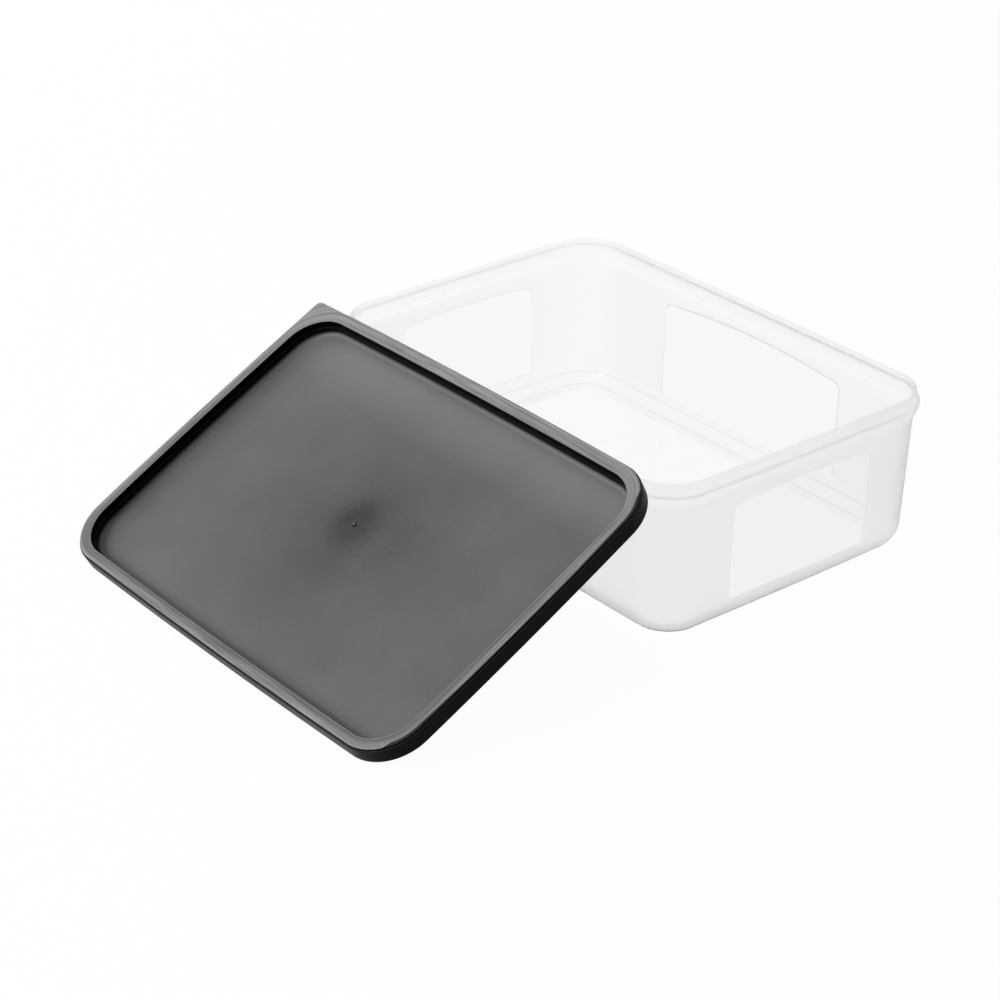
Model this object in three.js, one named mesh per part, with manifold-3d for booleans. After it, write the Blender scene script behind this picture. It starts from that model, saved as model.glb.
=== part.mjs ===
// Rectangular food container: a translucent tub and its push-on lid, which leans on the tub's rim.
// Millimetres, Z up. X runs along the tub's long side, the origin is the middle of the tub's underside.
import * as THREE from 'three';
import { mergeVertices } from 'three/addons/utils/BufferGeometryUtils.js';
import Module from 'manifold-3d';

// Tub
const rimLength = 254;
const rimWidth = 173;
const tubHeight = 84;
const rimCornerRadius = 23;
const baseCornerRadius = 22;
const sideBow = 0.6;
const wallThickness = 1.25;
const floorThickness = 2.5;
const baseRound = 13;
const wallInsetTop = 1;
const wallInsetBase = 3.3;

// Rim of the tub: upright lip, snap bead below it, ledge inside
const lipThickness = 1.3;
const lipHeight = 3.4;
const lipEdge = 0.4;
const beadReach = 1.7;
const beadHeight = 12.2;
const beadCrest = 0.26;
const ledgeDepth = 7;
const ledgeHeight = 1.5;

// Window panels, one shallow arched recess in each wall
const windowDepth = 0.5;
const windowRound = 5;
const longWindow = { width: 129, foot: 3, corner: 63.2, rise: 4 };
const shortWindow = { width: 87, foot: 13.5, corner: 63.2, rise: 2 };

// Lid: frame with a recess inside it, plug under the recess, skirt outside the tub
const frameThickness = 1.4;
const frameEdge = 0.4;
const recessDepth = 8.4;
const recessRound = 4;
const recessEdge = 0.6;
const recessStep = 0.3;
const recessStepDepth = 4;
const panelThickness = 1.2;
const plugClearance = 0.3;
const plugThickness = 1.1;
const snapClearance = 0.1;
const skirtThickness = 0.7;
const skirtDepth = 8.85;
const skirtLean = 0.15;
const skirtEdge = 0.3;
const shoulderDepth = 1.25;
const shoulderWidth = 0.55;
const snapRidge = 0.2;
const lidBow = 1.4;
const lidCornerRadius = 24;
const tabRadius = 2.5;
const gateRadius = 0.9;
const gateWellRadius = 6.5;
const gateWellDepth = 0.3;

// How the lid leans: how far it reaches over the lip, and its gap there
const leanOverhang = 0.5;
const leanGap = 0.3;

// Fineness of the curves
const cornerSteps = 7;
const sideSteps = 6;
const roundSteps = 5;

const wasm = await Module();
wasm.setup();

const halfLength = rimLength / 2;
const halfWidth = rimWidth / 2;
const wallTop = tubHeight - lipHeight - beadHeight;

// Rounded rectangle with gently bowed sides, counter-clockwise
function outline(halfX, halfY, radius, bow) {
  const corners = [[1, 1], [-1, 1], [-1, -1], [1, -1]];
  const points = [];
  corners.forEach(([signX, signY], index) => {
    for (let step = 0; step <= cornerSteps; step++) {
      const angle = (index + step / cornerSteps) * Math.PI / 2;
      const x = signX * (halfX - radius) + radius * Math.cos(angle);
      const y = signY * (halfY - radius) + radius * Math.sin(angle);
      points.push([x, y]);
    }
    const [nextX, nextY] = corners[(index + 1) % 4];
    const turn = (index + 1) * Math.PI / 2;
    const [fromX, fromY] = points[points.length - 1];
    const toX = nextX * (halfX - radius) + radius * Math.cos(turn);
    const toY = nextY * (halfY - radius) + radius * Math.sin(turn);
    for (let step = 1; step < sideSteps; step++) {
      const part = step / sideSteps;
      points.push([fromX + (toX - fromX) * part, fromY + (toY - fromY) * part]);
    }
  });
  return points.map(([x, y]) => [
    x + Math.sign(x) * bow * (1 - (y / halfY) ** 2),
    y + Math.sign(y) * bow * (1 - (x / halfX) ** 2),
  ]);
}

// Skin over a chain of outlines, closed by a fan at both ends
function loft(rings) {
  const positions = [];
  const faces = [];
  const count = rings[0].points.length;
  rings.forEach(({ points, z }) => points.forEach(([x, y]) => positions.push(x, y, z)));
  const first = positions.length / 3;
  positions.push(0, 0, rings[0].z);
  positions.push(0, 0, rings[rings.length - 1].z);
  const last = (rings.length - 1) * count;
  for (let i = 0; i < count; i++) {
    const next = (i + 1) % count;
    faces.push(first, next, i);
    faces.push(first + 1, last + i, last + next);
    for (let ring = 0; ring < rings.length - 1; ring++) {
      const low = ring * count;
      const high = low + count;
      faces.push(low + i, low + next, high + next);
      faces.push(low + i, high + next, high + i);
    }
  }
  const geometry = new THREE.BufferGeometry();
  geometry.setAttribute('position', new THREE.Float32BufferAttribute(positions, 3));
  geometry.setIndex(faces);
  return geometry;
}

function toSolid(geometry) {
  geometry.deleteAttribute('normal');
  geometry.deleteAttribute('uv');
  const merged = mergeVertices(geometry, 1e-4);
  const index = merged.getIndex().array;
  const faces = [];
  for (let i = 0; i < index.length; i += 3) {
    const [a, b, c] = [index[i], index[i + 1], index[i + 2]];
    if (a !== b && b !== c && c !== a) {
      faces.push(a, b, c);
    }
  }
  const mesh = new wasm.Mesh({
    numProp: 3,
    vertProperties: new Float32Array(merged.getAttribute('position').array),
    triVerts: new Uint32Array(faces),
  });
  return new wasm.Manifold(mesh);
}

function toGeometry(solid) {
  const mesh = solid.getMesh();
  const geometry = new THREE.BufferGeometry();
  geometry.setAttribute('position', new THREE.Float32BufferAttribute(mesh.vertProperties, 3));
  geometry.setIndex(new THREE.BufferAttribute(new Uint32Array(mesh.triVerts), 1));
  return geometry;
}

// One outline of the tub, offset outwards from the rim's upright face
function tubRing(offset, z, extraInset = 0) {
  const rise = Math.min(z / tubHeight, 1);
  const wallRadius = baseCornerRadius + (rimCornerRadius - baseCornerRadius) * rise;
  const reach = offset - extraInset;
  const radius = Math.max(wallRadius + Math.min(reach + wallInsetBase * (1 - rise), beadReach), 2);
  return { points: outline(halfLength + reach, halfWidth + reach, radius, sideBow), z };
}

// Offset of the wall's outer face at a height
function wallOffset(z) {
  return -wallInsetBase + (wallInsetBase - wallInsetTop) * z / wallTop;
}

function makeTub() {
  const rings = [];
  const innerRound = baseRound - wallThickness;
  // underside and outer rounding of the base
  for (let step = 0; step <= roundSteps; step++) {
    const angle = step / roundSteps * Math.PI / 2;
    const z = baseRound * (1 - Math.cos(angle));
    rings.push(tubRing(wallOffset(z), z, baseRound * (1 - Math.sin(angle))));
  }
  // wall, then the bead: a long taper below its crest and a tight round above it
  rings.push(tubRing(wallOffset(wallTop), wallTop));
  const crest = tubHeight - lipHeight - beadHeight * beadCrest;
  const taper = [[0.25, 0.12], [0.5, 0.5], [0.75, 0.86], [1, 1]];
  taper.forEach(([part, reach]) => {
    rings.push(tubRing(-wallInsetTop + (beadReach + wallInsetTop) * reach, wallTop + (crest - wallTop) * part));
  });
  for (let step = 1; step <= 3; step++) {
    const angle = step / 3 * Math.PI / 2;
    const z = crest + beadHeight * beadCrest * Math.sin(angle);
    rings.push(tubRing(beadReach * Math.cos(angle), z));
  }
  // lip
  rings.push(tubRing(0, tubHeight - lipEdge));
  rings.push(tubRing(-lipEdge, tubHeight));
  rings.push(tubRing(lipEdge - lipThickness, tubHeight));
  rings.push(tubRing(-lipThickness, tubHeight - lipEdge));
  // ledge inside, then the wall and its rounding, which meets the floor at a crease
  rings.push(tubRing(-lipThickness, tubHeight - ledgeDepth));
  const ledgeZ = tubHeight - ledgeDepth - ledgeHeight;
  rings.push(tubRing(-wallInsetTop - wallThickness, ledgeZ));
  const creaseAngle = Math.acos((baseRound - floorThickness) / innerRound);
  for (let step = roundSteps; step >= 0; step--) {
    const angle = creaseAngle + (Math.PI / 2 - creaseAngle) * step / roundSteps;
    const z = baseRound - innerRound * Math.cos(angle);
    rings.push(tubRing(wallOffset(z) - wallThickness, z, innerRound * (1 - Math.sin(angle))));
  }
  let solid = toSolid(loft(rings));
  windowCutters().forEach((cutter) => {
    solid = solid.subtract(cutter);
  });
  return toGeometry(solid);
}

// Arched panel with rounded upper corners. On the long walls its foot runs out into the base rounding.
function windowShape({ width, foot, corner, rise }) {
  const half = width / 2;
  const shape = new THREE.Shape();
  shape.moveTo(-half, foot);
  shape.lineTo(half, foot);
  shape.lineTo(half, corner - windowRound);
  shape.quadraticCurveTo(half, corner, half - windowRound, corner + rise * 0.15);
  shape.quadraticCurveTo(0, corner + rise * 1.85, windowRound - half, corner + rise * 0.15);
  shape.quadraticCurveTo(-half, corner, -half, corner - windowRound);
  shape.closePath();
  return shape;
}

function windowCutters() {
  const slope = (wallInsetBase - wallInsetTop) / wallTop;
  const walls = [
    { turn: 0, reach: halfLength, size: shortWindow },
    { turn: Math.PI / 2, reach: halfWidth, size: longWindow },
    { turn: Math.PI, reach: halfLength, size: shortWindow },
    { turn: -Math.PI / 2, reach: halfWidth, size: longWindow },
  ];
  return walls.map(({ turn, reach, size }) => {
    const geometry = new THREE.ExtrudeGeometry(windowShape(size), {
      depth: baseRound,
      bevelEnabled: false,
      curveSegments: 8,
    });
    const along = new THREE.Vector3(0, 1, 0);
    const up = new THREE.Vector3(slope, 0, 1).normalize();
    const out = new THREE.Vector3(1, 0, -slope).normalize();
    const place = new THREE.Matrix4().makeBasis(along, up, out);
    place.setPosition(reach - wallInsetBase + sideBow - windowDepth, 0, 0);
    geometry.applyMatrix4(place);
    geometry.rotateZ(turn);
    return toSolid(geometry);
  });
}

// Lid, measured from the same rim. Its own frame has z = 0 on top of the frame.
const skirtOffset = beadReach + snapClearance + skirtLean + skirtThickness;
const lidHalfLength = halfLength + skirtOffset;
const lidHalfWidth = halfWidth + skirtOffset;
const plugOffset = -wallInsetTop - wallThickness - plugClearance;

// Outline of the skirt and frame, inset from the lid's outer face
function skirtRing(inset, z) {
  const points = outline(lidHalfLength - inset, lidHalfWidth - inset, lidCornerRadius - inset, lidBow);
  return { points, z };
}

// Outline of the plug, offset from the tub's rim
function plugRing(offset, z) {
  const radius = rimCornerRadius + offset;
  return { points: outline(halfLength + offset, halfWidth + offset, radius, sideBow), z };
}

function makeLid() {
  const recess = plugOffset - plugThickness;
  const rings = [];
  // plug that enters the tub, from its underside up
  for (let step = 0; step <= roundSteps; step++) {
    const angle = step / roundSteps * Math.PI / 2;
    const inset = recessStep + (recessRound + plugThickness) * (1 - Math.sin(angle));
    const drop = (recessRound + panelThickness) * Math.cos(angle);
    rings.push(plugRing(plugOffset - inset, recessRound - recessDepth - drop));
  }
  rings.push(plugRing(plugOffset, -recessStepDepth));
  rings.push(plugRing(plugOffset, -frameThickness));
  // inside of the skirt, with the ridge that snaps below the bead
  rings.push(skirtRing(skirtThickness + shoulderWidth, -frameThickness));
  rings.push(skirtRing(skirtThickness, -frameThickness - shoulderWidth));
  const inside = skirtThickness + skirtLean;
  rings.push(skirtRing(inside, 1.4 - skirtDepth));
  rings.push(skirtRing(inside + snapRidge, 0.8 - skirtDepth));
  rings.push(skirtRing(inside + snapRidge, 0.4 - skirtDepth));
  rings.push(skirtRing(inside, -skirtDepth));
  // outside of the skirt, the shoulder above it and the edge of the frame
  rings.push(skirtRing(skirtLean + skirtEdge, -skirtDepth));
  rings.push(skirtRing(skirtLean, skirtEdge - skirtDepth));
  rings.push(skirtRing(0, -shoulderDepth - skirtEdge));
  rings.push(skirtRing(skirtEdge * 0.4, -shoulderDepth));
  rings.push(skirtRing(shoulderWidth, -shoulderDepth));
  rings.push(skirtRing(shoulderWidth, -frameEdge));
  rings.push(skirtRing(shoulderWidth + frameEdge * 0.3, -frameEdge * 0.3));
  rings.push(skirtRing(shoulderWidth + frameEdge, 0));
  // top of the frame, walls of the recess with a small step, and the round into the panel
  rings.push(plugRing(recess + recessEdge, 0));
  rings.push(plugRing(recess + recessEdge * 0.3, -recessEdge * 0.3));
  rings.push(plugRing(recess, -recessEdge));
  rings.push(plugRing(recess, recessStep - recessStepDepth));
  for (let step = 0; step <= roundSteps; step++) {
    const angle = step / roundSteps * Math.PI / 2;
    const inset = recessStep + recessRound * (1 - Math.cos(angle));
    rings.push(plugRing(recess - inset, recessRound * (1 - Math.sin(angle)) - recessDepth));
  }
  let solid = toSolid(loft(rings));
  solid = solid.add(toSolid(tabGeometry()));
  solid = solid.subtract(toSolid(gateWell())).add(toSolid(gateNub()));
  return toGeometry(solid);
}

// Square pull corner: the top of the frame runs out past the skirt's round corner
function tabGeometry() {
  const outerX = -lidHalfLength + shoulderWidth;
  const outerY = lidHalfWidth - shoulderWidth;
  const rootX = outerX + lidCornerRadius * 1.6;
  const rootY = outerY - lidCornerRadius * 1.6;
  const bowAt = (along, half) => lidBow * (1 - (along / half) ** 2);
  const depth = shoulderWidth + skirtThickness;
  const shape = new THREE.Shape();
  shape.moveTo(outerX - bowAt(rootY, lidHalfWidth), rootY);
  shape.lineTo(outerX + depth, rootY);
  shape.quadraticCurveTo(outerX + depth, outerY - depth, rootX, outerY - depth);
  shape.lineTo(rootX, outerY + bowAt(rootX, lidHalfLength));
  shape.lineTo(outerX + tabRadius, outerY);
  shape.quadraticCurveTo(outerX, outerY, outerX, outerY - tabRadius);
  shape.closePath();
  const geometry = new THREE.ExtrudeGeometry(shape, {
    depth: shoulderDepth - 2 * skirtEdge,
    bevelEnabled: true,
    bevelThickness: skirtEdge,
    bevelSize: skirtEdge,
    bevelOffset: -skirtEdge,
    bevelSegments: 1,
    curveSegments: 6,
  });
  geometry.translate(0, 0, skirtEdge - shoulderDepth);
  return geometry;
}

// Mark left by the injection gate in the middle of the panel: a shallow well with a small nub
function gateWell() {
  const profile = [
    new THREE.Vector2(0, -gateWellDepth),
    new THREE.Vector2(gateWellRadius * 0.7, -gateWellDepth),
    new THREE.Vector2(gateWellRadius, 0.1),
    new THREE.Vector2(0, 0.1),
  ];
  return turned(profile);
}

function gateNub() {
  const profile = [
    new THREE.Vector2(0, -gateWellDepth - 0.3),
    new THREE.Vector2(gateRadius, -gateWellDepth - 0.3),
    new THREE.Vector2(gateRadius, gateWellDepth * 0.4),
    new THREE.Vector2(gateRadius * 0.6, gateWellDepth),
    new THREE.Vector2(0, gateWellDepth),
  ];
  return turned(profile);
}

function turned(profile) {
  const geometry = new THREE.LatheGeometry(profile, 24);
  geometry.rotateX(Math.PI / 2);
  geometry.translate(0, 0, -recessDepth);
  return geometry;
}

// Lean: the lower edge of the skirt stands on the table, the upper one lies over the lip
function leanMatrix() {
  const footHalf = lidHalfWidth + lidBow - skirtLean - skirtEdge;
  const reach = 2 * footHalf - leanOverhang;
  const angle = Math.asin(tubHeight / Math.hypot(reach, leanGap)) + Math.atan2(leanGap, reach);
  const footY = -halfWidth - sideBow - reach * Math.cos(angle) - leanGap * Math.sin(angle);
  const toFoot = new THREE.Matrix4().makeTranslation(0, footHalf, skirtDepth);
  const tilt = new THREE.Matrix4().makeRotationX(angle);
  const place = new THREE.Matrix4().makeTranslation(0, footY, 0);
  return place.multiply(tilt).multiply(toFoot);
}

function named(name, geometry, color, roughness) {
  const material = new THREE.MeshStandardMaterial({ color, roughness, metalness: 0 });
  const mesh = new THREE.Mesh(geometry, material);
  mesh.name = name;
  return mesh;
}

const container = new THREE.Group();
container.name = 'food_container';
container.add(named('tub', makeTub(), 0xe4e9ea, 0.35));
container.add(named('lid', makeLid().applyMatrix4(leanMatrix()), 0x18191b, 0.45));

export default container;
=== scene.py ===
from math import acos, asin, atan2, cos, hypot, pi, radians, sin

import bmesh
import bpy
from mathutils import Matrix, Vector


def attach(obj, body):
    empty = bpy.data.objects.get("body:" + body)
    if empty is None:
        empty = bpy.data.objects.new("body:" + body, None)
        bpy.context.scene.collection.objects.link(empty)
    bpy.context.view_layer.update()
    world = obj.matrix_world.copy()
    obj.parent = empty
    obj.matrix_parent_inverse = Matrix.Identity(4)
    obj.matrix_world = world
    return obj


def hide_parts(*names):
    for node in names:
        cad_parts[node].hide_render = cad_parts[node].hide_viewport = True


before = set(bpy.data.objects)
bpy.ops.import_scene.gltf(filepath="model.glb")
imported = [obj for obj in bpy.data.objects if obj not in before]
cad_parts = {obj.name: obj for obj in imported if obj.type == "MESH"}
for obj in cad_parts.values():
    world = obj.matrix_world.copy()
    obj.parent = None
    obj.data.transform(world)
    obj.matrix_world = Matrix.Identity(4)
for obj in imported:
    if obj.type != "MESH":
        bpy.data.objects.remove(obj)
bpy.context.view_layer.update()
mm = 0.001


# shapes shared by the tub and the lid

def quarter(steps):
    # turns from nothing to a right angle
    return [i / steps * pi / 2 for i in range(steps + 1)]


def eased(t):
    return t * t * (3 - 2 * t)


def bowedOutline(halfX, halfY, radii, bow, cornerSteps, sideSteps):
    # rounded rectangle, counter-clockwise from the right side, one radius per corner
    signs = [(1, 1), (-1, 1), (-1, -1), (1, -1)]

    def onCorner(k, turn):
        (sx, sy), r = signs[k], radii[k]
        return sx * (halfX - r) + r * cos(turn), sy * (halfY - r) + r * sin(turn)

    points = []
    for k in range(4):
        for i in range(cornerSteps + 1):
            points.append(onCorner(k, (k + i / cornerSteps) * pi / 2))
        x0, y0 = points[-1]
        x1, y1 = onCorner((k + 1) % 4, (k + 1) * pi / 2)
        for i in range(1, sideSteps):
            t = i / sideSteps
            points.append((x0 + (x1 - x0) * t, y0 + (y1 - y0) * t))
    bowed = []
    for x, y in points:
        dx = (1 if x > 0 else -1) * bow * (1 - (y / halfY) ** 2)
        dy = (1 if y > 0 else -1) * bow * (1 - (x / halfX) ** 2)
        bowed.append((x + dx, y + dy))
    return bowed


def skinRings(name, rings, finishes):
    # rings are (outline, z, finish of the band that follows), closed by a flat face at each end
    bm = bmesh.new()
    loops = [[bm.verts.new((x * mm, y * mm, z * mm)) for x, y in outline] for outline, z, _ in rings]
    count = len(loops[0])
    bottom = bm.faces.new(list(reversed(loops[0])))
    bottom.material_index = rings[0][2]
    for k in range(len(loops) - 1):
        low, high = loops[k], loops[k + 1]
        for i in range(count):
            j = (i + 1) % count
            face = bm.faces.new((low[i], low[j], high[j], high[i]))
            face.material_index = rings[k][2]
    top = bm.faces.new(loops[-1])
    top.material_index = rings[-1][2]
    bm.normal_update()
    mesh = bpy.data.meshes.new(name)
    bm.to_mesh(mesh)
    bm.free()
    for finish in finishes:
        mesh.materials.append(finish)
    piece = bpy.data.objects.new(name, mesh)
    bpy.context.collection.objects.link(piece)
    return piece


def dropSlivers(piece):
    # faces without area, left where a cut runs along an edge or points lie very close
    sliver = 0.001 * mm
    bm = bmesh.new()
    bm.from_mesh(piece.data)
    bmesh.ops.triangulate(bm, faces=[face for face in bm.faces if len(face.verts) > 4])
    bmesh.ops.dissolve_degenerate(bm, dist=sliver, edges=bm.edges)
    bm.to_mesh(piece.data)
    bm.free()


def smoothFaces(piece, angle):
    piece.data.polygons.foreach_set("use_smooth", [True] * len(piece.data.polygons))
    piece.data.set_sharp_from_angle(angle=radians(angle))
    weigh = piece.modifiers.new("evenNormals", "WEIGHTED_NORMAL")
    weigh.keep_sharp = True
    weigh.weight = 80


# node helpers

def addNode(tree, kind, **settings):
    # a setting is either a property of the node or the value of one of its sockets
    node = tree.nodes.new(kind)
    for key, value in settings.items():
        if hasattr(node, key):
            setattr(node, key, value)
        else:
            node.inputs[key].default_value = value
    return node


def newFinish(name):
    finish = bpy.data.materials.new(name)
    finish.use_nodes = True
    tree = finish.node_tree
    return finish, tree, tree.nodes["Principled BSDF"]


def newGroup(name, inputs, outputs):
    group = bpy.data.node_groups.new(name, "ShaderNodeTree")
    for direction, sockets in (("INPUT", inputs), ("OUTPUT", outputs)):
        for socket, kind in sockets.items():
            group.interface.new_socket(socket, in_out=direction, socket_type="NodeSocket" + kind)
    return group, group.nodes.new("NodeGroupInput"), group.nodes.new("NodeGroupOutput")


def useGroup(tree, group, **values):
    node = tree.nodes.new("ShaderNodeGroup")
    node.node_tree = group
    for key, value in values.items():
        node.inputs[key].default_value = value
    return node


def calculate(tree, operation, first, second=0.0):
    node = addNode(tree, "ShaderNodeMath", operation=operation)
    for socket, value in zip(node.inputs, (first, second)):
        if isinstance(value, (int, float)):
            socket.default_value = value
        else:
            tree.links.new(value, socket)
    return node.outputs["Value"]


def rampBetween(tree, source, low, high, fromLow=0.0, fromHigh=1.0):
    span = addNode(tree, "ShaderNodeMapRange")
    span.inputs["From Min"].default_value = fromLow
    span.inputs["From Max"].default_value = fromHigh
    span.inputs["To Min"].default_value = low
    span.inputs["To Max"].default_value = high
    tree.links.new(source, span.inputs["Value"])
    return span.outputs["Result"]


def mixColors(tree, factor, first, second):
    mix = addNode(tree, "ShaderNodeMix", data_type="RGBA")
    firstColor, secondColor, mixed = mix.inputs[6], mix.inputs[7], mix.outputs[2]
    for socket, value in ((firstColor, first), (secondColor, second)):
        if isinstance(value, tuple):
            socket.default_value = (*value, 1)
        else:
            tree.links.new(value, socket)
    tree.links.new(factor, mix.inputs["Factor"])
    return mixed


def splitPoint(tree, point):
    parts = addNode(tree, "ShaderNodeSeparateXYZ")
    tree.links.new(point, parts.inputs["Vector"])
    return parts.outputs


def scaledColor(color, share):
    return tuple(c * share for c in color)


def makeGrainGroup():
    # fine moulded grain and the slow unevenness of a pressed plastic skin
    inputs = {"Scale": "Float", "Unevenness": "Float"}
    group, start, end = newGroup("mouldGrain", inputs, {"Height": "Float", "Tone": "Float"})
    grainShare, slowShare, slowScale = 0.4, 0.6, 28.0
    place = addNode(group, "ShaderNodeTexCoord").outputs["Object"]
    grain = addNode(group, "ShaderNodeTexNoise", Detail=3.0, Roughness=0.6)
    slow = addNode(group, "ShaderNodeTexNoise", Scale=slowScale, Detail=2.0)
    for noise in (grain, slow):
        group.links.new(place, noise.inputs["Vector"])
    group.links.new(start.outputs["Scale"], grain.inputs["Scale"])
    wave = calculate(group, "MULTIPLY", slow.outputs["Fac"], start.outputs["Unevenness"])
    height = calculate(group, "ADD", grain.outputs["Fac"], wave)
    fine = calculate(group, "MULTIPLY", grain.outputs["Fac"], grainShare)
    tone = calculate(group, "ADD", fine, calculate(group, "MULTIPLY", slow.outputs["Fac"], slowShare))
    group.links.new(height, end.inputs["Height"])
    group.links.new(tone, end.inputs["Tone"])
    return group


def makeScuffGroup():
    # thin handling scratches in two directions, gathered in patches
    group, start, end = newGroup("handlingScuffs", {"Scale": "Float", "Patch": "Float"}, {"Mask": "Float"})
    directions = ((0.6, (1.0, 9.0, 1.0)), (2.1, (11.0, 1.0, 1.0)))  # turn and stretch of each
    scratchSpan, patchSpan, betweenPatches = (0.58, 0.74), (0.42, 0.68), 0.12
    place = addNode(group, "ShaderNodeTexCoord").outputs["Object"]
    scratches = []
    for turn, stretch in directions:
        drawn = addNode(group, "ShaderNodeMapping", Rotation=(0, 0, turn), Scale=stretch)
        group.links.new(place, drawn.inputs["Vector"])
        noise = addNode(group, "ShaderNodeTexNoise", Detail=4.0, Roughness=0.7)
        group.links.new(drawn.outputs["Vector"], noise.inputs["Vector"])
        group.links.new(start.outputs["Scale"], noise.inputs["Scale"])
        scratches.append(rampBetween(group, noise.outputs["Fac"], 0, 1, *scratchSpan))
    either = calculate(group, "MAXIMUM", *scratches)
    patch = addNode(group, "ShaderNodeTexNoise", Detail=2.0)
    group.links.new(place, patch.inputs["Vector"])
    group.links.new(start.outputs["Patch"], patch.inputs["Scale"])
    where = rampBetween(group, patch.outputs["Fac"], betweenPatches, 1, *patchSpan)
    group.links.new(calculate(group, "MULTIPLY", either, where), end.inputs["Mask"])
    return group


def makeEdgeGroup():
    # how far a point lies inside the rounded outline of a moulding, in metres
    inputs = {"Place": "Vector", "HalfX": "Float", "HalfY": "Float", "Corner": "Float", "Bow": "Float"}
    group, start, end = newGroup("edgeDistance", inputs, {"Inside": "Float"})
    given = start.outputs

    def work(operation, first, second=0.0):
        return calculate(group, operation, first, second)

    parts = splitPoint(group, given["Place"])
    over = []
    for axis, other in (("X", "Y"), ("Y", "X")):
        across = work("ABSOLUTE", work("DIVIDE", parts[other], given["Half" + other]))
        bulge = work("MULTIPLY", given["Bow"], work("SUBTRACT", 1, work("POWER", across, 2)))
        straight = work("SUBTRACT", work("ADD", given["Half" + axis], bulge), given["Corner"])
        over.append(work("SUBTRACT", work("ABSOLUTE", parts[axis]), straight))
    squares = [work("POWER", work("MAXIMUM", value, 0), 2) for value in over]
    curve = work("POWER", work("ADD", *squares), 0.5)
    flat = work("MINIMUM", work("MAXIMUM", *over), 0)
    inside = work("SUBTRACT", given["Corner"], work("ADD", curve, flat))
    group.links.new(inside, end.inputs["Inside"])
    return group


mouldGrain = makeGrainGroup()
handlingScuffs = makeScuffGroup()
edgeDistance = makeEdgeGroup()
grainSpan = (0.3, 0.7)  # most of the grain's tone lies between these


def grainedSkin(tree, shader, grain, roughness, bump, height):
    uneven = rampBetween(tree, grain.outputs["Tone"], *roughness, *grainSpan)
    tree.links.new(uneven, shader.inputs["Roughness"])
    relief = addNode(tree, "ShaderNodeBump", Strength=bump, Distance=height)
    tree.links.new(grain.outputs["Height"], relief.inputs["Height"])
    tree.links.new(relief.outputs["Normal"], shader.inputs["Normal"])


# tub

# painted shadow: the lid-shadow colour darkens the tub toward the side where the lid leans
tubFinishes = {
    "tubFrostedPlastic": {"color": (0.94, 0.941, 0.943), "lidShadowColor": (0.86, 0.861, 0.863),
                          "roughness": (0.5, 0.6), "ior": 1.21, "bump": 0.02},
    "tubClearPlastic": {"color": (0.952, 0.953, 0.955), "roughness": (0.03, 0.06), "ior": 1.2, "bump": 0.004},
    "tubCreaseShadeLines": {"color": (0.84, 0.841, 0.843), "roughness": (0.03, 0.06), "ior": 1.2, "bump": 0.004},
    "tubRim": {"color": (0.95, 0.951, 0.953), "roughness": (0.5, 0.6), "ior": 1.2, "bump": 0.02},
    "tubWindows": {"color": (0.93, 0.931, 0.933), "roughness": (0.06, 0.1), "ior": 1.2, "bump": 0.004},
}
windowEdgeFinish = {"roughness": (0.5, 0.6), "ior": 1.1, "bump": 0.004}
# painted light and shade: the window slopes are paler on the near walls (Right, Lid) and darker on the far walls
# (Back, Left)
windowEdgeLightAndShade = {"Right": 0.99, "Back": 0.6, "Left": 0.76, "Lid": 0.99}
tubGrain = {"scale": 900.0, "unevenness": 1.6, "deeper": 0.985, "height": 0.0002}

tubSize = {
    "rim": (254.0, 173.0), "height": 84.0, "rimCorner": 23.0, "baseCorner": 22.0, "leastCorner": 2.0, "bow": 0.6,
    "wall": 1.25, "floor": 2.5, "baseRound": 13.0, "insetTop": 1.0, "insetBase": 3.3,
    "lip": 1.3, "lipHeight": 3.4, "lipEdge": 0.4,
    "beadReach": 1.7, "beadHeight": 12.2, "beadCrest": 0.26,
    "beadSlope": ((0.25, 1.05), (0.06, 1.2), (0.0, 1.4)),  # parts of the bead's reach and of its height over the crest
    "ledgeDepth": 7.0, "ledgeHeight": 1.5,
    "windowDepth": 0.35, "windowSlope": 0.8, "windowRound": 3.5, "windowArch": (0.15, 1.85),
    "longWindow": (129.0, 3.0, 63.2, 4.0), "shortWindow": (87.0, 13.5, 63.2, 2.0),  # width, foot, corner, rise
    "cutterReach": 12.0, "cornerSteps": 18, "sideSteps": 20, "smoothAngle": 23,
}
halfLength, halfWidth = tubSize["rim"][0] / 2, tubSize["rim"][1] / 2
wallTop = tubSize["height"] - tubSize["lipHeight"] - tubSize["beadHeight"]


def makeTubFinish(name, color, roughness, ior, bump, lidShadowColor=None):
    lidShadowColor = lidShadowColor or color
    finish, tree, shader = newFinish(name)
    shader.inputs["Transmission Weight"].default_value = 1.0
    shader.inputs["IOR"].default_value = ior
    grain = useGroup(tree, mouldGrain, Scale=tubGrain["scale"], Unevenness=tubGrain["unevenness"])
    parts = splitPoint(tree, addNode(tree, "ShaderNodeTexCoord").outputs["Object"])
    # painted shadow of the lid: the colour runs from the lid-shadow colour on the -Y side to the plain colour on the
    # far side
    across = rampBetween(tree, parts["Y"], 0.0, 1.0, -halfWidth * mm, halfWidth * mm)
    body = mixColors(tree, across, lidShadowColor, color)
    share = tubGrain["deeper"]
    deeper = mixColors(tree, across, scaledColor(lidShadowColor, share), scaledColor(color, share))
    tree.links.new(mixColors(tree, grain.outputs["Tone"], deeper, body), shader.inputs["Base Color"])
    grainedSkin(tree, shader, grain, roughness, bump, tubGrain["height"])
    return finish


def wallOffset(z):
    s = tubSize
    return -s["insetBase"] + (s["insetBase"] - s["insetTop"]) * z / wallTop


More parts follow.
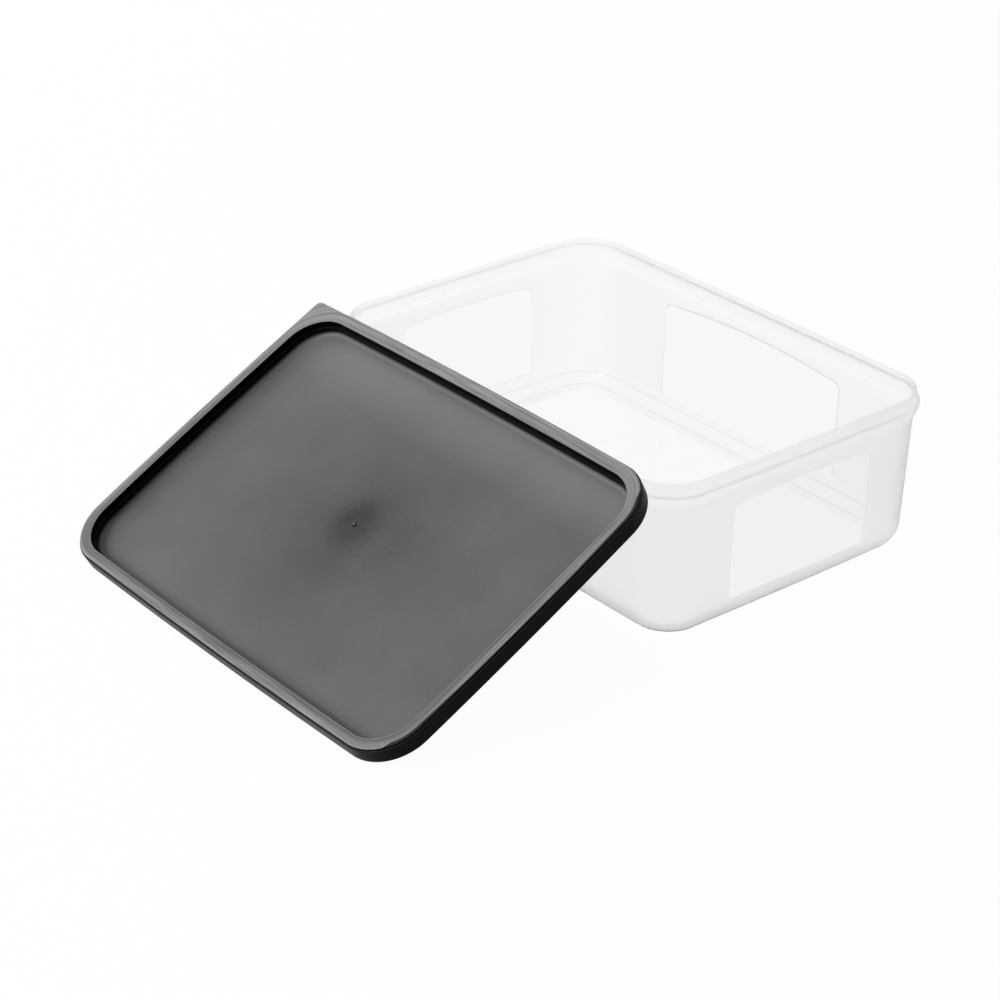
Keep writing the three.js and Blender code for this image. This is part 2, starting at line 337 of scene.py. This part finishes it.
def tubRing(offset, z, finish, extraInset=0.0):
    s = tubSize
    rise = min(z / s["height"], 1)
    reach = offset - extraInset
    r = s["baseCorner"] + (s["rimCorner"] - s["baseCorner"]) * rise
    r = max(r + min(reach + s["insetBase"] * (1 - rise), s["beadReach"]), s["leastCorner"])
    line = bowedOutline(halfLength + reach, halfWidth + reach, [r] * 4, s["bow"], s["cornerSteps"], s["sideSteps"])
    return line, z, finish


def tubRings():
    s = tubSize
    frosted, clear, creaseShade, rim = range(4)
    edge, height = s["lipEdge"], s["height"]
    rings = []
    for turn in quarter(10):  # clear underside and the round of the base
        z = s["baseRound"] * (1 - cos(turn))
        rings.append(tubRing(wallOffset(z), z, frosted if turn else clear, s["baseRound"] * (1 - sin(turn))))
    rings.append(tubRing(wallOffset(wallTop), wallTop, frosted))
    over = s["beadHeight"] * s["beadCrest"]
    crest = height - s["lipHeight"] - over
    taperSteps, rimStep = 10, 4
    for i in range(1, taperSteps + 1):  # long taper up to the bead's crest
        t = i / taperSteps
        offset = -s["insetTop"] + (s["beadReach"] + s["insetTop"]) * eased(t)
        rings.append(tubRing(offset, wallTop + (crest - wallTop) * t, frosted if i < rimStep else rim))
    for turn in quarter(12)[1:9]:  # tight round above the crest, then a slope to the lip
        rings.append(tubRing(s["beadReach"] * cos(turn), crest + over * sin(turn), rim))
    for part, rise in s["beadSlope"]:
        rings.append(tubRing(s["beadReach"] * part, crest + over * rise, rim))
    for turn in quarter(6):  # lip
        rings.append(tubRing(-edge + edge * cos(turn), height - edge + edge * sin(turn), rim))
    for turn in quarter(6):
        rings.append(tubRing(edge - s["lip"] - edge * sin(turn), height - edge + edge * cos(turn), rim))
    ledgeTop, ledgeSteps = height - s["ledgeDepth"], 6
    for i in range(ledgeSteps + 1):  # ledge inside, with a fine line at its top and its foot
        t = i / ledgeSteps
        offset = -s["lip"] - (s["insetTop"] + s["wall"] - s["lip"]) * eased(t)
        # painted shade: a darker line at the ledge's top and at its foot
        finish = creaseShade if i in (0, ledgeSteps - 1) else rim if i < ledgeSteps else clear
        rings.append(tubRing(offset, ledgeTop - s["ledgeHeight"] * t, finish))
    inner = s["baseRound"] - s["wall"]
    crease = acos((s["baseRound"] - s["floor"]) / inner)
    roundSteps, upperLine = 11, 4
    for i in range(roundSteps + 1):  # wall and its round, with a fine line on it and one where it meets the floor
        turn = pi / 2 + (crease - pi / 2) * i / roundSteps
        z = s["baseRound"] - inner * cos(turn)
        # painted shade: darker lines on the round and where it meets the floor
        finish = creaseShade if i in (upperLine, roundSteps - 1) else clear
        rings.append(tubRing(wallOffset(z) - s["wall"], z, finish, inner * (1 - sin(turn))))
    return rings


def bend(start, pull, end, steps):
    # points of a curve from start to end, drawn toward pull
    points = []
    for i in range(1, steps + 1):
        t = i / steps
        points.append(tuple((1 - t) ** 2 * a + 2 * t * (1 - t) * b + t * t * c for a, b, c in zip(start, pull, end)))
    return points


def windowOutline(width, foot, corner, rise, grow):
    # arched panel with rounded upper corners, drawn across the wall and up it
    half, r = width / 2 + grow, tubSize["windowRound"]
    top, foot = corner + grow, foot - grow
    archFoot, archPull = (top + rise * part for part in tubSize["windowArch"])
    right, left = (half - r, archFoot), (r - half, archFoot)
    points = [(-half, foot), (half, foot), (half, top - r)]
    points += bend((half, top - r), (half, top), right, 10)
    points += bend(right, (0, archPull), left, 28)
    points += bend(left, (-half, top), (-half, top - r), 10)
    return points


def makeWindowCutter(turn, reach, size, finishes):
    # its foot is the window's face, and its sides slope outward past the wall
    s = tubSize
    draft = (s["insetBase"] - s["insetTop"]) / wallTop
    up, out = Vector((draft, 0, 1)).normalized(), Vector((1, 0, -draft)).normalized()
    origin = Vector((reach - s["insetBase"] + s["bow"] - s["windowDepth"], 0, 0))
    spin = Matrix.Rotation(turn, 3, "Z")
    narrow, wide = -s["windowSlope"] / 2, s["windowSlope"] * 2.5
    bm = bmesh.new()
    loops = []
    for depth, grow in ((0, narrow), (s["windowDepth"] * 3, wide), (s["cutterReach"], wide)):
        outline = windowOutline(*size, grow)
        places = [spin @ (origin + Vector((0, u, 0)) + up * v + out * depth) for u, v in outline]
        loops.append([bm.verts.new(p * mm) for p in places])
    bm.faces.new(list(reversed(loops[0])))
    bm.faces.new(loops[-1])
    for low, high in zip(loops, loops[1:]):
        for i in range(len(low)):
            j = (i + 1) % len(low)
            bm.faces.new((low[i], low[j], high[j], high[i])).material_index = 1
    bmesh.ops.recalc_face_normals(bm, faces=bm.faces)
    mesh = bpy.data.meshes.new("windowCutter")
    bm.to_mesh(mesh)
    bm.free()
    for finish in finishes:
        mesh.materials.append(finish)
    cutter = bpy.data.objects.new("windowCutter", mesh)
    bpy.context.collection.objects.link(cutter)
    return cutter


def makeTub():
    s = tubSize
    *skins, window = [makeTubFinish(name, **look) for name, look in tubFinishes.items()]
    tub = skinRings("tubMoulding", tubRings(), skins)
    walls = [("Right", 0, halfLength, s["shortWindow"]), ("Back", pi / 2, halfWidth, s["longWindow"]),
             ("Left", pi, halfLength, s["shortWindow"]), ("Lid", -pi / 2, halfWidth, s["longWindow"])]
    for side, turn, reach, size in walls:
        edged = makeTubFinish("tubWindowEdgeShading" + side, (windowEdgeLightAndShade[side],) * 3, **windowEdgeFinish)
        cutter = makeWindowCutter(turn, reach, size, [window, edged])
        cut = tub.modifiers.new("window", "BOOLEAN")
        cut.operation, cut.solver, cut.object = "DIFFERENCE", "EXACT", cutter
        cut.material_mode = "TRANSFER"
        bpy.context.view_layer.objects.active = tub
        bpy.ops.object.modifier_apply(modifier=cut.name)
        bpy.data.objects.remove(cutter, do_unlink=True)
    dropSlivers(tub)
    smoothFaces(tub, s["smoothAngle"])
    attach(tub, "tub_body")
    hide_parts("tub")
    print("tub:", len(tub.data.polygons), "faces")


makeTub()


# lid

lidLook = {
    "black": (0.003, 0.003, 0.0031), "blackSheen": 0.035,
    "recessShadeBlack": (0.0008, 0.0008, 0.0008), "recessShadeSheen": 0.01,
    "wornEdgeAndHighlight": (0.26, 0.26, 0.262), "shoulderHighlight": (0.035, 0.035, 0.036),
    "scuff": (0.5, 0.5, 0.505), "satinSheen": 0.22,
    "panelRoughness": (0.36, 0.46), "panelBump": 0.22,
    "frameRoughness": (0.38, 0.52), "frameBump": 0.2, "edgeBump": 0.15,
    "blackRoughness": (0.3, 0.4), "blackBump": 0.1, "blackScuffs": 6,
    "deeper": 0.7, "grainHeight": 0.0001,
}
lidGrain = {"Scale": 1500.0, "Unevenness": 0.8}
edgeGrain = {"Scale": 900.0, "Unevenness": 1.2}
mottleGrain = {"Scale": 800.0, "Unevenness": 0.8}
panelScuffs = {"Scale": 150.0, "Patch": 14.0}
frameScuffs = {"Scale": 210.0, "Patch": 26.0}

# bands and shifts are in metres on the lid as it lies flat
panelMarks = {
    # painted sheen: the panel's tone from the gate outward
    "gateSheenTones": ((0.0, 0.004), (0.06, 0.007), (0.1, 0.019), (0.16, 0.043), (0.22, 0.056), (0.4, 0.073), (1.0, 0.1)),
    "gateReach": 0.1, "blueShare": 1.015,
    "mottle": 0.07, "scuffs": 0.05,
    "lowSideLight": 0.05, "lowBand": (-0.08, -0.05),
    "highSideLight": 0.2, "highBand": (0.05, 0.08),
    "shade": 0.7, "shadeBand": (0.0064, 0.0098), "shadeShift": -0.0012, "shadeEnds": (-0.06, 0.06),
    "turnsDown": (0.3, 1.04),
}
frameMarks = {
    "dark": (0.14, 0.14, 0.141), "pale": (0.34, 0.34, 0.342),
    "streaksAcross": 900.0, "streaksAlong": 3.0, "streakSpan": (0.34, 0.66),
    "scuffs": 0.9, "scuffLeast": 0.25, "scuffBand": (0.0005, 0.005),
    "fade": 0.5, "fadeBand": (0.0012, 0.0052), "fadeLeast": 0.2, "fadeSide": (0.0, 0.08),
    "blackBand": (0.0008, 0.0015),
    "endShift": (0.02, -0.0002), "endBand": (0.105, 0.124),
    "cornerShift": -0.0011, "cornerBand": (0.035, 0.075),
}

lidSize = {
    "frame": 1.4, "frameEdge": 0.8,
    "recess": 8.4, "recessRound": 2.6, "recessEdge": 0.6, "recessBow": 1.2, "recessShift": -0.4,
    "step": 0.3, "stepDepth": 4.0, "panel": 1.2, "plugGap": 0.3, "plug": 1.1,
    "snapGap": 0.1, "skirt": 0.7, "skirtDepth": 8.85, "skirtLean": 0.15, "skirtEdge": 0.3,
    "ridge": 0.2, "ridgeShape": ((0, 1.4), (0.5, 1.05), (1, 0.8), (1, 0.4), (0.35, 0.1), (0, 0)),
    "shoulder": 1.25, "shoulderWidth": 0.55, "bow": 1.4, "corner": 24.0, "tabRadius": 2.5, "tabRise": 0.02,
    "gateDepth": 0.3,
    "gateWell": 6.5, "wellShape": ((1, 0), (0.8, -0.1), (0.6, -0.3)),  # parts of the radius and of the depth
    "gate": 0.9, "nubShape": ((1.3, -0.4), (1, -0.2), (1, 0.4), (0.85, 0.8), (0.55, 1)),
    "overhang": 0.5, "leanGap": 0.3,
    "cornerSteps": 22, "sideSteps": 24, "smoothAngle": 40,
}
skirtOffset = tubSize["beadReach"] + lidSize["snapGap"] + lidSize["skirtLean"] + lidSize["skirt"]
lidHalfLength, lidHalfWidth = halfLength + skirtOffset, halfWidth + skirtOffset
plugOffset = -tubSize["insetTop"] - tubSize["wall"] - lidSize["plugGap"]


def leanMatrix():
    # the skirt's lower edge stands on the table and its upper edge lies over the lip
    s = lidSize
    foot = lidHalfWidth + s["bow"] - s["skirtLean"] - s["skirtEdge"]
    reach = 2 * foot - s["overhang"]
    angle = asin(tubSize["height"] / hypot(reach, s["leanGap"])) + atan2(s["leanGap"], reach)
    footY = -halfWidth - tubSize["bow"] - reach * cos(angle) - s["leanGap"] * sin(angle)
    place = Matrix.Translation(Vector((0, footY, 0)) * mm)
    return place @ Matrix.Rotation(angle, 4, "X") @ Matrix.Translation(Vector((0, foot, s["skirtDepth"])) * mm)


lean = leanMatrix()


def lidPoint(tree):
    # a place on the lid in its own axes, as it lies flat
    place = addNode(tree, "ShaderNodeTexCoord")
    flat = addNode(tree, "ShaderNodeMapping", vector_type="TEXTURE")
    flat.inputs["Location"].default_value = lean.translation
    flat.inputs["Rotation"].default_value = lean.to_euler()
    tree.links.new(place.outputs["Object"], flat.inputs["Vector"])
    return flat.outputs["Vector"]


def insideLid(tree, point):
    edge = useGroup(tree, edgeDistance, HalfX=lidHalfLength * mm, HalfY=lidHalfWidth * mm,
                    Corner=lidSize["corner"] * mm, Bow=lidSize["bow"] * mm)
    tree.links.new(point, edge.inputs["Place"])
    return edge.outputs["Inside"]


def facingUp(tree, low, high):
    # 1 on the flat of the lid, falling to 0 where its rounds turn down into the walls
    place = addNode(tree, "ShaderNodeTexCoord")
    upright = addNode(tree, "ShaderNodeVectorMath", operation="DOT_PRODUCT")
    upright.inputs[1].default_value = lean.to_3x3() @ Vector((0, 0, 1))
    tree.links.new(place.outputs["Normal"], upright.inputs[0])
    turn = addNode(tree, "ShaderNodeMapRange", interpolation_type="SMOOTHSTEP")
    turn.inputs["From Min"].default_value, turn.inputs["From Max"].default_value = low, high
    tree.links.new(upright.outputs["Value"], turn.inputs["Value"])
    return turn.outputs["Result"]


def paintedGateSheen(tree, point):
    # painted sheen over the panel: dark in the middle around the gate and paler outward
    marks = panelMarks
    flat = addNode(tree, "ShaderNodeVectorMath", operation="MULTIPLY")
    flat.inputs[1].default_value = (1, 1, 0)
    tree.links.new(point, flat.inputs[0])
    away = addNode(tree, "ShaderNodeVectorMath", operation="LENGTH")
    tree.links.new(flat.outputs["Vector"], away.inputs[0])
    sheenTones = addNode(tree, "ShaderNodeValToRGB")
    sheenTones.color_ramp.interpolation = "CARDINAL"
    stops = sheenTones.color_ramp.elements
    while len(stops) < len(marks["gateSheenTones"]):
        stops.new(0.5)
    for stop, (position, tone) in zip(stops, marks["gateSheenTones"]):
        stop.position, stop.color = position, (tone, tone, tone * marks["blueShare"], 1)
    tree.links.new(rampBetween(tree, away.outputs["Value"], 0.0, 1.0, 0.0, marks["gateReach"]), sheenTones.inputs["Fac"])
    return sheenTones.outputs["Color"]


def makePanelFinish():
    marks, scuff, black = panelMarks, lidLook["scuff"], lidLook["black"]
    finish, tree, shader = newFinish("lidPanelSatin")
    shader.inputs["Specular IOR Level"].default_value = lidLook["satinSheen"]
    grain = useGroup(tree, mouldGrain, **lidGrain)
    mottle = useGroup(tree, mouldGrain, **mottleGrain)
    scuffs = useGroup(tree, handlingScuffs, **panelScuffs)
    point = lidPoint(tree)
    acrossLid = splitPoint(tree, point)["Y"]
    mottled = rampBetween(tree, mottle.outputs["Tone"], 0.0, marks["mottle"], *grainSpan)
    body = mixColors(tree, mottled, paintedGateSheen(tree, point), scuff)
    marked = mixColors(tree, calculate(tree, "MULTIPLY", scuffs.outputs["Mask"], marks["scuffs"]), body, scuff)
    # painted light: paler along both long sides
    low = rampBetween(tree, acrossLid, marks["lowSideLight"], 0.0, *marks["lowBand"])
    high = rampBetween(tree, acrossLid, 0.0, marks["highSideLight"], *marks["highBand"])
    paled = mixColors(tree, calculate(tree, "ADD", low, high), marked, scuff)
    # painted shadow: darker beside the low wall
    shift = rampBetween(tree, acrossLid, marks["shadeShift"], 0.0, *marks["lowBand"])
    beside = calculate(tree, "ADD", insideLid(tree, point), shift)
    near = rampBetween(tree, beside, marks["shade"], 0.0, *marks["shadeBand"])
    wallShadow = calculate(tree, "MULTIPLY", near, rampBetween(tree, acrossLid, 1.0, 0.0, *marks["shadeEnds"]))
    shaded = mixColors(tree, wallShadow, paled, black)
    # painted shade: the round into the recess walls darkens to black as it turns down
    turned = mixColors(tree, facingUp(tree, *marks["turnsDown"]), black, shaded)
    tree.links.new(turned, shader.inputs["Base Color"])
    grainedSkin(tree, shader, grain, lidLook["panelRoughness"], lidLook["panelBump"], lidLook["grainHeight"])
    return finish


def makeFrameFinish():
    # greyed by handling, in fine streaks that run along the frame
    marks, black = frameMarks, lidLook["black"]
    finish, tree, shader = newFinish("lidFrameScuffed")
    shader.inputs["Specular IOR Level"].default_value = lidLook["satinSheen"]
    grain = useGroup(tree, mouldGrain, **lidGrain)
    scuffs = useGroup(tree, handlingScuffs, **frameScuffs)
    point = lidPoint(tree)
    parts = splitPoint(tree, point)
    inside = insideLid(tree, point)
    turn = calculate(tree, "ARCTAN2", parts["Y"], parts["X"])
    along = addNode(tree, "ShaderNodeCombineXYZ")
    tree.links.new(calculate(tree, "MULTIPLY", inside, marks["streaksAcross"]), along.inputs["X"])
    tree.links.new(calculate(tree, "MULTIPLY", turn, marks["streaksAlong"]), along.inputs["Y"])
    streak = addNode(tree, "ShaderNodeTexNoise", Scale=1.0, Detail=4.0, Roughness=0.65)
    tree.links.new(along.outputs["Vector"], streak.inputs["Vector"])
    lines = rampBetween(tree, streak.outputs["Fac"], 0.0, 1.0, *marks["streakSpan"])
    body = mixColors(tree, lines, marks["dark"], marks["pale"])
    outer = rampBetween(tree, inside, 1.0, marks["scuffLeast"], *marks["scuffBand"])
    worn = calculate(tree, "MULTIPLY", scuffs.outputs["Mask"], outer)
    marked = mixColors(tree, calculate(tree, "MULTIPLY", worn, marks["scuffs"]), body, lidLook["scuff"])
    # darker toward the recess, most on the low side
    inward = rampBetween(tree, inside, 0.0, marks["fade"], *marks["fadeBand"])
    low = rampBetween(tree, parts["Y"], 1.0, marks["fadeLeast"], *marks["fadeSide"])
    faded = mixColors(tree, calculate(tree, "MULTIPLY", inward, low), marked, black)
    # painted shade: black on the outer edge at the +X end, and more of it at that end's corners
    atEnd = rampBetween(tree, parts["X"], *marks["endShift"], *marks["endBand"])
    outward = calculate(tree, "ABSOLUTE", parts["Y"])
    atCorner = rampBetween(tree, outward, 0.0, marks["cornerShift"], *marks["cornerBand"])
    rim = calculate(tree, "ADD", calculate(tree, "ADD", inside, atEnd), atCorner)
    edged = mixColors(tree, rampBetween(tree, rim, 0.0, 1.0, *marks["blackBand"]), black, faded)
    tree.links.new(edged, shader.inputs["Base Color"])
    grainedSkin(tree, shader, grain, lidLook["frameRoughness"], lidLook["frameBump"], lidLook["grainHeight"])
    return finish


def makeEdgeFinish(name, color):
    # narrow pale lines: edges partly rubbed by hands and shelves and partly painted highlight, and a painted highlight
    # on the gate's nub and the skirt's shoulder
    finish, tree, shader = newFinish(name)
    shader.inputs["Specular IOR Level"].default_value = lidLook["satinSheen"]
    grain = useGroup(tree, mouldGrain, **edgeGrain)
    body = mixColors(tree, grain.outputs["Tone"], scaledColor(color, lidLook["deeper"]), color)
    tree.links.new(body, shader.inputs["Base Color"])
    grainedSkin(tree, shader, grain, lidLook["frameRoughness"], lidLook["edgeBump"], lidLook["grainHeight"])
    return finish


def makeBlackFinish(name, color, sheen):
    # scuffed in proportion to its colour, so that the deepest black stays clean
    finish, tree, shader = newFinish(name)
    shader.inputs["Specular IOR Level"].default_value = sheen
    grain = useGroup(tree, mouldGrain, **lidGrain)
    scuffs = useGroup(tree, handlingScuffs, **frameScuffs)
    body = mixColors(tree, grain.outputs["Tone"], scaledColor(color, lidLook["deeper"]), color)
    rubbed = calculate(tree, "MULTIPLY", scuffs.outputs["Mask"], color[0] * lidLook["blackScuffs"])
    tree.links.new(mixColors(tree, rubbed, body, lidLook["scuff"]), shader.inputs["Base Color"])
    grainedSkin(tree, shader, grain, lidLook["blackRoughness"], lidLook["blackBump"], lidLook["grainHeight"])
    return finish


def skirtRing(inset, z, finish, tab=False):
    # the second corner is the square pull corner, on the frame only
    s = lidSize
    radii = [s["corner"] - inset] * 4
    if tab:
        radii[1] = s["tabRadius"]
    line = bowedOutline(lidHalfLength - inset, lidHalfWidth - inset, radii, s["bow"], s["cornerSteps"], s["sideSteps"])
    return line, z, finish


def plugRing(offset, z, finish, bow=tubSize["bow"]):
    s = lidSize
    r = tubSize["rimCorner"] + offset
    line = bowedOutline(halfLength + offset, halfWidth + offset, [r] * 4, bow, s["cornerSteps"], s["sideSteps"])
    return line, z, finish


def recessRing(offset, z, finish):
    # the recess sits a little nearer the low side of the frame
    line, z, finish = plugRing(offset, z, finish, lidSize["recessBow"])
    return [(x, y + lidSize["recessShift"]) for x, y in line], z, finish


def gateRing(radius, z, finish, around):
    # round ring with one point under each point of the panel's outline
    turns = [atan2(y, x) for x, y in around]
    return [(radius * cos(t), radius * sin(t)) for t in turns], z, finish


def lidRings():
    s = lidSize
    panel, black, framed, worn, ledge, deep = range(6)
    lineTurn, edgeTurn, panelTurn = 1.1, 0.7, 0.2  # where the finish changes on a round
    recess = plugOffset - s["plug"]
    step, r, depth = s["step"], s["recessRound"], s["skirtDepth"]
    rings = []
    for turn in quarter(8):  # plug, from its underside up
        inset = step + (r + s["plug"]) * (1 - sin(turn))
        rings.append(plugRing(plugOffset - inset, r - s["recess"] - (r + s["panel"]) * cos(turn), black))
    rings.append(plugRing(plugOffset, -s["stepDepth"], black))
    rings.append(plugRing(plugOffset, -s["frame"], black))
    inside = s["skirt"] + s["skirtLean"]  # inside of the skirt and its snap ridge
    rings.append(skirtRing(s["skirt"] + s["shoulderWidth"], -s["frame"], black))
    rings.append(skirtRing(s["skirt"], -s["frame"] - s["shoulderWidth"], black))
    for part, z in s["ridgeShape"]:
        rings.append(skirtRing(inside + part * s["ridge"], z - depth, black))
    edge = s["skirtEdge"]
    for part in (1, 0.5, 0):  # outside of the skirt, up to its shoulder
        rings.append(skirtRing(s["skirtLean"] + edge * part, edge * (1 - part) - depth, black))
    for turn in quarter(4):
        # painted highlight: the upper part of the shoulder round takes a paler line
        finish = black if turn < lineTurn else ledge
        rings.append(skirtRing(edge * (1 - cos(turn)), -s["shoulder"] - edge * (1 - sin(turn)), finish))
    rings.append(skirtRing(s["shoulderWidth"], -s["shoulder"], black))
    edge = s["frameEdge"]
    rings.append(skirtRing(s["shoulderWidth"], -s["shoulder"] + s["tabRise"], black, True))
    for turn in quarter(8):  # edge of the frame
        finish = black if turn < edgeTurn else framed
        rings.append(skirtRing(s["shoulderWidth"] + edge * (1 - cos(turn)), edge * (sin(turn) - 1), finish, True))
    edge = s["recessEdge"]
    for turn in quarter(6):  # inner edge of the frame, then the walls of the recess
        # the frame's inner edge is rubbed pale and also carries a painted highlight
        finish = worn if turn < edgeTurn else deep
        rings.append(recessRing(recess + edge * (1 - sin(turn)), edge * (cos(turn) - 1), finish))
    rings.append(recessRing(recess, step - s["stepDepth"], black))
    rings.append(recessRing(recess - step, -s["stepDepth"], black))
    for turn in quarter(12):  # round into the panel
        finish = black if turn < panelTurn else panel
        rings.append(recessRing(recess - step - r * (1 - cos(turn)), r * (1 - sin(turn)) - s["recess"], finish))
    around = rings[-1][0]
    for part, rise in s["wellShape"]:
        rings.append(gateRing(s["gateWell"] * part, s["gateDepth"] * rise - s["recess"], panel, around))
    for part, rise in s["nubShape"]:
        # painted highlight: the nub's top takes the pale edge finish
        finish = black if rise < 1 else worn
        rings.append(gateRing(s["gate"] * part, s["gateDepth"] * rise - s["recess"], finish, around))
    return rings


def makeLid():
    look = lidLook
    finishes = [
        makePanelFinish(),
        makeBlackFinish("lidBlackPlastic", look["black"], look["blackSheen"]),
        makeFrameFinish(),
        makeEdgeFinish("lidWornEdgeAndHighlight", look["wornEdgeAndHighlight"]),
        makeEdgeFinish("lidShoulderHighlight", look["shoulderHighlight"]),
        # painted shade: a darker black with less sheen for the walls of the recess
        makeBlackFinish("lidRecessShadeBlack", look["recessShadeBlack"], look["recessShadeSheen"]),
    ]
    lid = skinRings("lidMoulding", lidRings(), finishes)
    lid.data.transform(lean)
    dropSlivers(lid)
    smoothFaces(lid, lidSize["smoothAngle"])
    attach(lid, "lid_body")
    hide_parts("lid")
    print("lid:", len(lid.data.polygons), "faces")


makeLid()


# stage, light and camera

stageLook = {"floorGlow": 0.965, "floorColor": (0.95, 0.95, 0.95), "floorReach": 8, "floorDrop": 0.3, "fill": 0.35}
lampTarget = (0, -0.1, 0.05)
lamps = {
    "overheadSoftbox": {"place": (-0.1, 0.1, 1.8), "size": 1.6, "power": 6},
    "sideSoftbox": {"place": (-1.5, 0.2, 0.85), "size": 1.1, "power": 6},
    "frontSoftbox": {"place": (-0.5, -1.86, 0.95), "size": 1.2, "power": 26},
}
# the focal length is in pixels of a picture of that width
view = {"eye": (0.92897, -0.82713, 0.65577), "azimuth": 51.169, "elevation": 27.8098,
        "focal": 2775.77, "pictureWidth": 1000, "sensor": 36, "farthest": 50}


def seenByLens(tree, cameraShare=1.0):
    # camera, mirror and see-through rays get the white backdrop, the rest get its plain light
    path = addNode(tree, "ShaderNodeLightPath")
    total = calculate(tree, "MULTIPLY", path.outputs["Is Camera Ray"], cameraShare)
    for name in ("Is Glossy Ray", "Is Transmission Ray"):
        total = calculate(tree, "MAXIMUM", total, path.outputs[name])
    return total


def makeFloor():
    look = stageLook
    reach = look["floorReach"]
    mesh = bpy.data.meshes.new("paleFloor")
    corners = [(-reach, -reach, 0), (reach, -reach, 0), (reach, reach, 0), (-reach, reach, 0)]
    mesh.from_pydata(corners, [], [(0, 1, 2, 3)])
    floor = bpy.data.objects.new("paleFloor", mesh)
    floor.location.z = -look["floorDrop"] * mm
    bpy.context.collection.objects.link(floor)
    finish, tree, shader = newFinish("paleFloorPaper")
    shader.inputs["Base Color"].default_value = (*look["floorColor"], 1)
    shader.inputs["Roughness"].default_value = 1
    shader.inputs["Specular IOR Level"].default_value = 0
    glow = addNode(tree, "ShaderNodeEmission", Strength=1.0)
    mix = addNode(tree, "ShaderNodeMixShader")
    tree.links.new(seenByLens(tree, look["floorGlow"]), mix.inputs["Fac"])
    tree.links.new(shader.outputs["BSDF"], mix.inputs[1])
    tree.links.new(glow.outputs["Emission"], mix.inputs[2])
    tree.links.new(mix.outputs["Shader"], tree.nodes["Material Output"].inputs["Surface"])
    mesh.materials.append(finish)


def makeWorld():
    world = bpy.data.worlds.new("softRoom")
    bpy.context.scene.world = world
    world.use_nodes = True
    tree = world.node_tree
    back = tree.nodes["Background"]
    back.inputs["Color"].default_value = (1, 1, 1, 1)
    level = rampBetween(tree, seenByLens(tree), stageLook["fill"], 1.0)
    tree.links.new(level, back.inputs["Strength"])


def makeLamp(name, place, size, power):
    data = bpy.data.lights.new(name, "AREA")
    data.shape, data.size, data.size_y, data.energy = "RECTANGLE", size, size, power
    lamp = bpy.data.objects.new(name, data)
    lamp.location = place
    lamp.rotation_euler = (Vector(lampTarget) - Vector(place)).to_track_quat("-Z", "Y").to_euler()
    bpy.context.collection.objects.link(lamp)


def makeCamera():
    data = bpy.data.cameras.new("photoView")
    data.sensor_width = view["sensor"]
    data.lens = view["focal"] / view["pictureWidth"] * view["sensor"]
    data.clip_end = view["farthest"]
    camera = bpy.data.objects.new("photoView", data)
    camera.location = view["eye"]
    camera.rotation_euler = (radians(90 - view["elevation"]), 0, radians(view["azimuth"]))
    bpy.context.collection.objects.link(camera)
    bpy.context.scene.camera = camera


makeFloor()
makeWorld()
for name, lamp in lamps.items():
    makeLamp(name, **lamp)
makeCamera()
bpy.context.scene.view_settings.view_transform = "Standard"
print("stage, light and camera ready")
